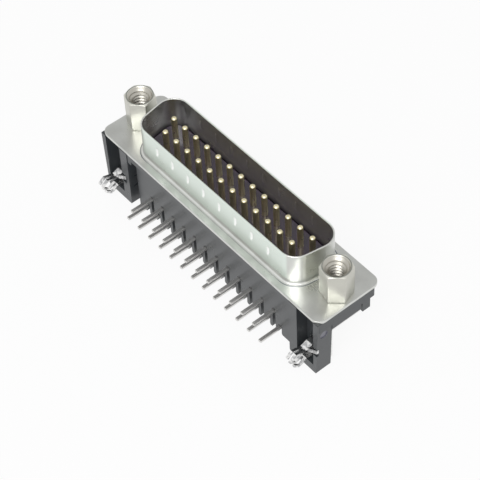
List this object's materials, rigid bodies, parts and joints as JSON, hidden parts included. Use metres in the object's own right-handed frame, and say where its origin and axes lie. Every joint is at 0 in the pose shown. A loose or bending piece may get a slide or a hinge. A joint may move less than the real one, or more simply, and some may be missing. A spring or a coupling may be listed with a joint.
{
  "type": "d-sub connector",
  "caption": "Right-angle board-mount d-sub plug: metal D shroud around rows of pins, hex jack sockets, bent tails, comb bracket and forked board locks.",
  "frame": {"origin": "centre of the flange's front face, on the axis of the mating face", "axes": "+Z out of the mating face, +X along the contact rows, +Y away from the circuit board"},
  "size_m": [0.053, 0.0159, 0.0187],
  "materials": {
    "plated_steel": "satin nickel plate",
    "black_insulator": "moulded",
    "black_plastic": "semi-gloss moulded",
    "contact_metal": "gold flash in front, tin behind",
    "jack_metal": "nickel plate",
    "insert_brass": "turned",
    "lock_metal": "tinned sheet"
  },
  "bodies": {
    "root": {"front_shell": "plated_steel", "insulator": "black_insulator", "bracket": "black_plastic", "contact_01": "contact_metal", "contact_02": "contact_metal", "contact_03": "contact_metal", "contact_04": "contact_metal", "contact_05": "contact_metal", "contact_06": "contact_metal", "contact_07": "contact_metal", "contact_08": "contact_metal", "contact_09": "contact_metal", "contact_10": "contact_metal", "contact_11": "contact_metal", "contact_12": "contact_metal", "contact_13": "contact_metal", "contact_14": "contact_metal", "contact_15": "contact_metal", "contact_16": "contact_metal", "contact_17": "contact_metal", "contact_18": "contact_metal", "contact_19": "contact_metal", "contact_20": "contact_metal", "contact_21": "contact_metal", "contact_22": "contact_metal", "contact_23": "contact_metal", "contact_24": "contact_metal", "contact_25": "contact_metal", "jack_socket_left": "jack_metal", "jack_socket_right": "jack_metal", "threaded_insert_left": "insert_brass", "threaded_insert_right": "insert_brass", "board_lock_left": "lock_metal", "board_lock_right": "lock_metal"}
  },
  "joints": []
}
